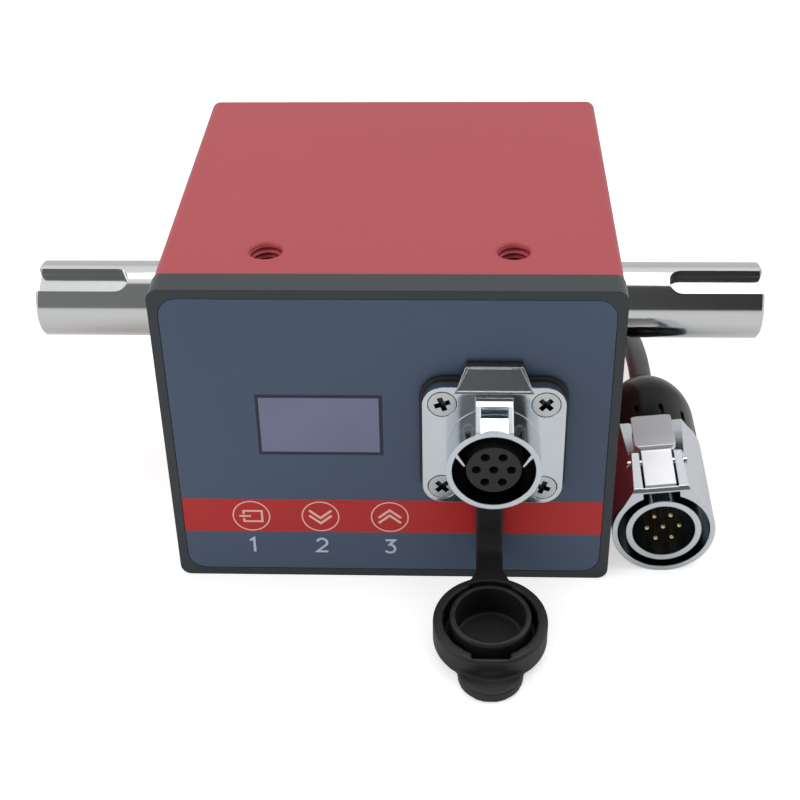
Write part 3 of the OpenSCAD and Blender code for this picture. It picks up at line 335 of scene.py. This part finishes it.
FINISHES = {
    "red_anodised": ((172, 64, 71), 0.45, dict(blotch=40*MM, change=0.02, grain=0.1*MM, edge=0.2*MM)),
    "dark_anodised": ((34, 43, 49), 0.34, dict(blotch=30*MM, change=0.04, grain=0.1*MM, edge=0.25*MM)),
    "black_plastic": ((34, 35, 37), 0.34, dict(grain=0.15*MM, bump=0.06, edge=0.1*MM, Specular_IOR_Level=0.3)),
    "gloss_black": ((12, 12, 14), 0.2, dict(grain=0.3*MM, bump=0.02, edge=0.3*MM, Specular_IOR_Level=0.14)),
    "black_rubber": ((27, 28, 30), 0.5, dict(grain=0.18*MM, bump=0.1, change=0.1, Specular_IOR_Level=0.35)),
    "cable_sheath": ((58, 61, 63), 0.48, dict(grain=0.3*MM, bump=0.1, change=0.1)),
    "core_wire": ((200, 120, 50), 0.4, {}),
    "board_green": ((38, 98, 58), 0.3, dict(change=0.12)),
    "connector_ivory": ((226, 220, 200), 0.45, {}),
    "display_glass": ((104, 106, 126), 0.15, dict(change=0.03)),
    "key_grey": ((160, 160, 160), 0.45, {}),
    "gauge_foil": ((200, 140, 60), 0.35, {}),
    "sleeve_polymer": ((200, 186, 156), 0.5, {}),
    "ink": ((226, 172, 160), 0.45, dict(blotch=3*MM, change=0.03, bump=0.02)),
    "label_ink": ((172, 184, 200), 0.45, dict(blotch=3*MM, change=0.03, bump=0.02)),
}
# Nodes that look different from their slot's finish
LOOKS = {"plug_rear_shell": "gloss_black", "plug_latch": "satin_zinc", "receptacle_screws": "flange_screws"}


def make_materials():
    made = {"overlay_print": overlay_print(), "flange_screws": flange_screws()}
    for make, table in ((metal, METALS), (finish, FINISHES)):
        for name, (colour, roughness, settings) in table.items():
            made[name] = make(name, colour, roughness, **settings)
    return made


materials = make_materials()


def dress(piece, slot, look=None):
    """Gives a piece the finish of a slot, or another look."""
    piece.data.materials.clear()
    piece.data.materials.append(materials[look or slot])


for name, slot in slot_of.items():
    dress(nodes[name], slot, LOOKS.get(name))
dress(lead, "cable_sheath")


# Pieces made here
def joined(shapes):
    """The points and faces of several shapes as one mesh."""
    points, faces = [], []
    for more, sides in shapes:
        faces += [tuple(i + len(points) for i in side) for side in sides]
        points += more
    return points, faces


def mesh_piece(name, points, faces, body="housing"):
    data = bpy.data.meshes.new(name)
    data.from_pydata(points, [], faces)
    data.validate()
    mesh = bmesh.new()
    mesh.from_mesh(data)
    bmesh.ops.recalc_face_normals(mesh, faces=mesh.faces)
    mesh.to_mesh(data)
    mesh.free()
    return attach(link_object(name, data), body)


# Threads in the mounting holes: the ridge's pitch, height and length, and how far its foot sinks into the wall
THREAD_PITCH, THREAD_H, THREAD_L, THREAD_SINK = 1.0*MM, 0.45*MM, 8*MM, 0.02*MM
THREAD_STEPS = 28
# Half the width of the ridge's foot, and the start of its middle under the hole's mouth, in pitches
THREAD_FOOT, THREAD_START = 0.42, 0.6


def thread(place, down, radius):
    """A ridge that winds down the wall of a hole from its mouth, and fades over its first and last turn."""
    points, faces = [], []
    count = int(THREAD_L/THREAD_PITCH*THREAD_STEPS)
    for i in range(count + 1):
        angle = 2*math.pi*i/THREAD_STEPS
        fade = min(1, i/THREAD_STEPS, (count - i)/THREAD_STEPS)
        for out, rise in ((THREAD_SINK, -THREAD_FOOT), (-THREAD_H*fade, 0), (THREAD_SINK, THREAD_FOOT)):
            r = radius + out
            z = (i/THREAD_STEPS + THREAD_START + rise)*THREAD_PITCH
            points.append(place + Vector((r*math.cos(angle), r*math.sin(angle)*-down, z*down)))
    for i in range(count):
        a, b = 3*i, 3*i + 3
        faces += [(a, b, b + 1, a + 1), (a + 1, b + 1, b + 2, a + 2), (a + 2, b + 2, b, a)]
    faces += [(0, 1, 2), (3*count + 2, 3*count + 1, 3*count)]
    return points, faces


def make_threads():
    ridges = []
    for mount in frame["record"]["mounts"]:
        if mount["kind"] != "bolt_pattern":
            continue
        sizes = mount["dims"]
        dx, dy = sizes["spacing_x_mm"]*MM/2, sizes.get("spacing_y_mm", 0)*MM/2
        down = -mount["axis"][2]
        for x in (-dx, dx):
            for y in sorted({-dy, dy}):
                ridges.append(thread(Vector(mount["pos_m"]) + Vector((x, y, 0)), down, sizes["hole_r_mm"]*MM))
    dress(mesh_piece("hole_threads", *joined(ridges)), "red_anodised")


make_threads()

# Print on the overlay, drawn as strokes in mm across and up the panel
INK_T = 0.03*MM
FACE_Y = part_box("overlay")[0].y
KEY_PLACES = [(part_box(f"key_{i}")[0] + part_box(f"key_{i}")[1])/2/MM for i in (1, 2, 3)]
# The sharpest corner that is mitred in full, as the share of the line's half-width to the mitre's
SHARPEST = 0.4


def arc(x, z, radius, start, end, steps):
    angles = [math.radians(start + (end - start)*i/steps) for i in range(steps + 1)]
    return [(x + radius*math.cos(a), z + radius*math.sin(a)) for a in angles]


def moved(points, x, z):
    return [(x + across, z + up) for across, up in points]


def stroke(points, width, closed):
    """A flat ribbon along a line, with mitred corners, as points and faces of a thin plate on the panel."""
    line = [Vector(p) for p in points]
    count = len(line)
    front = []
    for i, point in enumerate(line):
        before = line[i - 1] if i or closed else None
        after = line[(i + 1) % count] if i < count - 1 or closed else None
        ways = [(b - a).normalized() for a, b in ((before, point), (point, after)) if a is not None and b is not None]
        way = sum(ways, Vector((0, 0))).normalized()
        side = Vector((-way.y, way.x))
        reach = width/2/max(SHARPEST, side.dot(Vector((-ways[0].y, ways[0].x))))
        front += [point + side*reach, point - side*reach]
    plate = [(p.x*MM, FACE_Y - layer, p.y*MM) for layer in (INK_T, -INK_T) for p in front]
    back = len(front)
    faces = []
    for i in range(count if closed else count - 1):
        a, b = 2*i, 2*((i + 1) % count)
        faces += [(a, b, b + 1, a + 1), (a + back, a + 1 + back, b + 1 + back, b + back),
                  (a, a + back, b + back, b), (a + 1, b + 1, b + 1 + back, a + 1 + back)]
    if not closed:
        last = 2*(count - 1)
        faces += [(0, 1, 1 + back, back), (last, last + back, last + 1 + back, last + 1)]
    return plate, faces


def print_piece(name, look, strokes):
    """One printed piece of several strokes, each with its line, its width and whether it is closed."""
    dress(mesh_piece(name, *joined(stroke(*row) for row in strokes)), "overlay_print", look)


# The signs, from the middle of their keys, and the numbers, from the middle of their places under them
RING_R, RING_STEPS = 3.6, 64
RING_LINE, ENTER_LINE, ARROW_LINE, NUMBER_LINE = 0.26, 0.42, 0.5, 0.5
ENTER_BOX = [(-1.5, 0.45), (-1.5, 1.25), (2.1, 1.25), (2.1, -1.35), (-1.5, -1.35), (-1.5, -0.55)]
ENTER_BAR = [(-2.4, -0.05), (-0.1, -0.05)]
# An arrow's half-width, how far its ends and its tip lie from its own middle, and the places of the two middles
ARROW_HALF, ARROW_END, ARROW_TIP = 2.2, 0.55, 1.35
ARROW_PLACES = (0.95, -0.35)
NUMBER_Z = 7.8
BOWL_STEPS = 14
NUMBERS = [
    [(-0.75, 1.15), (0.1, 1.75), (0.1, -1.75)],
    arc(0, 0.75, 1.0, 165, -35, BOWL_STEPS) + [(-1.05, -1.55), (1.15, -1.55)],
    [(-0.95, 1.5), (0.85, 1.5), (-0.15, 0.38)] + arc(-0.1, -0.68, 1.0, 70, -150, BOWL_STEPS),
]


def double_arrow(way):
    """Two arrow heads that point down where way is 1, and up where it is -1."""
    return [[(-ARROW_HALF, way*(place + ARROW_END)), (0, way*(place - ARROW_TIP)),
             (ARROW_HALF, way*(place + ARROW_END))] for place in ARROW_PLACES]


def key_symbols():
    """A ring round each key, with an enter sign, a double arrow down and a double arrow up."""
    signs = [([ENTER_BOX, ENTER_BAR], ENTER_LINE), (double_arrow(1), ARROW_LINE), (double_arrow(-1), ARROW_LINE)]
    strokes = []
    for place, (lines, width) in zip(KEY_PLACES, signs):
        strokes.append((arc(place.x, place.z, RING_R, 0, 360, RING_STEPS)[:-1], RING_LINE, True))
        strokes += [(moved(line, place.x, place.z), width, False) for line in lines]
    return strokes


def key_numbers():
    """The numbers 1, 2 and 3 under the keys."""
    return [(moved(line, place.x, NUMBER_Z), NUMBER_LINE, False) for place, line in zip(KEY_PLACES, NUMBERS)]


print_piece("key_symbols", "ink", key_symbols())
print_piece("key_numbers", "label_ink", key_numbers())

# The cap, its strap and the gasket are one rubber moulding
RUBBER_VOXEL = 0.26*MM
RUBBER_SMOOTHING, RUBBER_PASSES = 0.5, 5
HINGE = Vector(joints["cap_swing"]["pos_m"])
# The strap's half-width and thickness at its bend, and how far the bend runs into the solids below and above it
STRAP_HALF, STRAP_T = 2.6*MM, 1.4*MM
LAP_BELOW, LAP_ABOVE = 0.2*MM, 0.5*MM


def box_mesh(low, high):
    mesh = bmesh.new()
    bmesh.ops.create_cube(mesh, size=1)
    bmesh.ops.scale(mesh, vec=high - low, verts=mesh.verts)
    bmesh.ops.translate(mesh, vec=(low + high)/2, verts=mesh.verts)
    return mesh


def make_rubber():
    """Joins the solids and the strap's bend, and rounds them all into one moulding."""
    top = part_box("cap_tether")[0].z
    whole = box_mesh(Vector((HINGE.x - STRAP_HALF, HINGE.y - STRAP_T/2, HINGE.z - LAP_BELOW)),
                     Vector((HINGE.x + STRAP_HALF, HINGE.y + STRAP_T/2, top + LAP_ABOVE)))
    for name in ("cap_tether", "dust_cap"):
        whole.from_mesh(nodes[name].data)
    data = bpy.data.meshes.new("rubber_cap")
    whole.to_mesh(data)
    whole.free()
    piece = link_object("rubber_cap", data)
    remesh = piece.modifiers.new("remesh", "REMESH")
    remesh.mode, remesh.voxel_size, remesh.use_smooth_shade = "VOXEL", RUBBER_VOXEL, True
    smooth = piece.modifiers.new("smooth", "SMOOTH")
    smooth.factor, smooth.iterations = RUBBER_SMOOTHING, RUBBER_PASSES
    shaped = bpy.data.meshes.new_from_object(piece.evaluated_get(bpy.context.evaluated_depsgraph_get()))
    piece.modifiers.clear()
    piece.data = shaped
    shaped.shade_smooth()
    dress(piece, "black_rubber")
    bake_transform(piece)
    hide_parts("cap_tether", "dust_cap")


make_rubber()

# Bare core ends on the coil
CORE_D, TIP_D = 1.4*MM, 0.8*MM
CORE_COLOURS = [(150, 40, 36), (40, 40, 42), (60, 110, 60), (50, 80, 140), (200, 190, 170)]
# How far a core starts inside the sheath and is free past it, and how far apart the cores then are, across and up
CORE_IN, CORE_OUT = 2*MM, 1.5*MM
FAN_SIDE, FAN_RISE, FAN_IN = 0.9*MM, 0.4*MM, 0.6
# Where the cores lie on the coil: their spacing, a first bend, the straight part, and ends of uneven length
CORE_GAP = 1.5*MM
CORE_BEND = Vector((8, 2.5, 0.6))*MM
STRAIGHT_FROM, STRAIGHT_SHORT, END_STEP = 14*MM, 4*MM, 0.6*MM
TIP_LAP, TIP_L = Vector((0.5, 0, 0))*MM, Vector((4, 0, 0))*MM


def core_points(side, outermost):
    """A core's route from inside the sheath to its end; side counts from the middle core."""
    low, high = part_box("cable_cores")
    start = lead_points[-1]
    way = (start - lead_points[-2]).normalized()
    y, z = (low.y + high.y)/2 + side*CORE_GAP, (low.z + high.z)/2
    fan = Vector((0, side*FAN_SIDE, FAN_RISE*(outermost - abs(side))))
    return [start - way*CORE_IN + fan*FAN_IN, start + way*CORE_OUT + fan, Vector((low.x, y, z)) + CORE_BEND,
            Vector((low.x + STRAIGHT_FROM, y, z)), Vector((high.x - STRAIGHT_SHORT + side*END_STEP, y, z))]


def make_cores():
    outermost = (len(CORE_COLOURS) - 1)/2
    wires = []
    for i, colour in enumerate(CORE_COLOURS):
        points = core_points(i - outermost, outermost)
        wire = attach(tube_curve(f"core_{i + 1}", points, CORE_D), "housing")
        look = f"core_wire_{i + 1}"
        materials[look] = finish(look, colour, 0.42, change=0.06)
        dress(wire, "core_wire", look)
        ends = [points[-1] - TIP_LAP, points[-1] + TIP_L]
        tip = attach(tube_curve(f"core_tip_{i + 1}", ends, TIP_D), "housing")
        dress(tip, "core_wire", "copper_winding")
        wires += [wire, tip]
    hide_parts("cable_cores")
    return wires


cores = make_cores()

# Floor, light and background
FLOOR_HALF, FLOOR_DROP, FLOOR_BLOTCH = 3, 0.02*MM, 400*MM
FLOOR_COLOUR = (0.8, 0.8, 0.8, 1)
# The floor's own glow: towards the camera, in metal, and as light on the object
FLOOR_GLOW, MIRRORED_GLOW, FLOOR_LIGHT = 0.55, 0.05, 0.4
# The distances from the object between which the floor turns white
WHITE_FROM_TO = (0.3, 1.0)
WORLD_LEVEL = 0.42
# What metal mirrors: white overhead, pale behind the object, and a dim room behind the camera, darker on the right
OVERHEAD, BEHIND = 1.0, 0.7
ROOM_LEFT, ROOM_RIGHT = 0.24, 0.05
# Where these change into each other, on the X or Y of a direction: in the room, up to behind, and room to overhead
ROOM_X, BEHIND_Y, ROOM_Y = (-0.25, 0.2), (0.75, 0.85), (-0.3, -0.2)
LAMP_TARGET = Vector((0, 0, 0.03))


def make_stage():
    """A floor that holds the object's shadow and is white further off."""
    corners = [(-1, -1), (1, -1), (1, 1), (-1, 1)]
    data = bpy.data.meshes.new("floor")
    data.from_pydata([(x*FLOOR_HALF, y*FLOOR_HALF, 0) for x, y in corners], [], [(0, 1, 2, 3)])
    floor = link_object("floor", data)
    floor.location.z = -FLOOR_DROP
    made = bpy.data.materials.new("floor")
    made.use_nodes = True
    tree = made.node_tree
    tree.nodes.clear()
    colour = shades(tree, noise(tree, FLOOR_BLOTCH, detail=2.0), FLOOR_COLOUR, 0.01)
    matte = add_node(tree, "ShaderNodeBsdfDiffuse", {"Color": colour})
    path = add_node(tree, "ShaderNodeLightPath").outputs
    place = add_node(tree, "ShaderNodeTexCoord").outputs["Object"]
    away = add_node(tree, "ShaderNodeVectorMath", {0: place}, operation="LENGTH").outputs["Value"]
    seen = mapped(tree, away, WHITE_FROM_TO, (FLOOR_GLOW - FLOOR_LIGHT, 1 - FLOOR_LIGHT))
    level = FLOOR_LIGHT
    for ray, more in (("Is Camera Ray", seen), ("Is Glossy Ray", MIRRORED_GLOW - FLOOR_LIGHT)):
        step = add_node(tree, "ShaderNodeMath", {0: path[ray], 1: more, 2: level}, operation="MULTIPLY_ADD")
        level = step.outputs[0]
    lit = add_node(tree, "ShaderNodeEmission", {"Color": WHITE, "Strength": level})
    bright = add_node(tree, "ShaderNodeAddShader", {0: matte.outputs[0], 1: lit.outputs[0]})
    add_node(tree, "ShaderNodeOutputMaterial", {"Surface": bright.outputs[0]})
    data.materials.append(made)


def make_world():
    """White to the camera, a plain level on the object, and a studio with a dim side for metal to mirror."""
    world = bpy.data.worlds.new("studio")
    bpy.context.scene.world = world
    world.use_nodes = True
    tree = world.node_tree
    tree.nodes.clear()

    def background(strength):
        return add_node(tree, "ShaderNodeBackground", {"Color": WHITE, "Strength": strength}).outputs[0]

    def mixed(share, first, second):
        return add_node(tree, "ShaderNodeMixShader", {0: share, 1: first, 2: second}).outputs[0]

    axes = place_axes(tree, "Generated")
    room = mapped(tree, axes["X"], ROOM_X, (ROOM_LEFT, ROOM_RIGHT))
    sky = mapped(tree, axes["Y"], BEHIND_Y, (OVERHEAD, BEHIND))
    forward = mapped(tree, axes["Y"], ROOM_Y)
    studio = add_node(tree, "ShaderNodeMix", {MIX_SHARE: forward, MIX_FROM: room, MIX_TO: sky}).outputs[0]
    path = add_node(tree, "ShaderNodeLightPath").outputs
    rays = {0: path["Is Glossy Ray"], 1: path["Is Transmission Ray"]}
    gloss = add_node(tree, "ShaderNodeMath", rays, operation="MAXIMUM").outputs[0]
    light = mixed(gloss, background(WORLD_LEVEL), background(studio))
    add_node(tree, "ShaderNodeOutputWorld", {"Surface": mixed(path["Is Camera Ray"], light, background(1.0))})


def lamp(name, place, size, power, mirrored=True):
    data = bpy.data.lights.new(name, "AREA")
    data.shape, data.size, data.size_y, data.energy = "RECTANGLE", size[0], size[1], power
    light = link_object(name, data)
    light.location = place
    light.rotation_euler = (LAMP_TARGET - Vector(place)).to_track_quat("-Z", "Y").to_euler()
    light.visible_glossy = mirrored


make_stage()
make_world()
lamp("softbox_top", (0.1, 0.15, 0.9), (0.8, 0.6), 3.5)
lamp("softbox_left", (-0.7, -0.35, 0.45), (0.35, 0.6), 1.8)
lamp("softbox_right", (0.75, -0.1, 0.4), (0.3, 0.6), 0.9)
lamp("fill_front", (-0.15, -0.6, 0.85), (0.5, 0.3), 0.9, mirrored=False)
bpy.context.scene.view_settings.view_transform = "Standard"
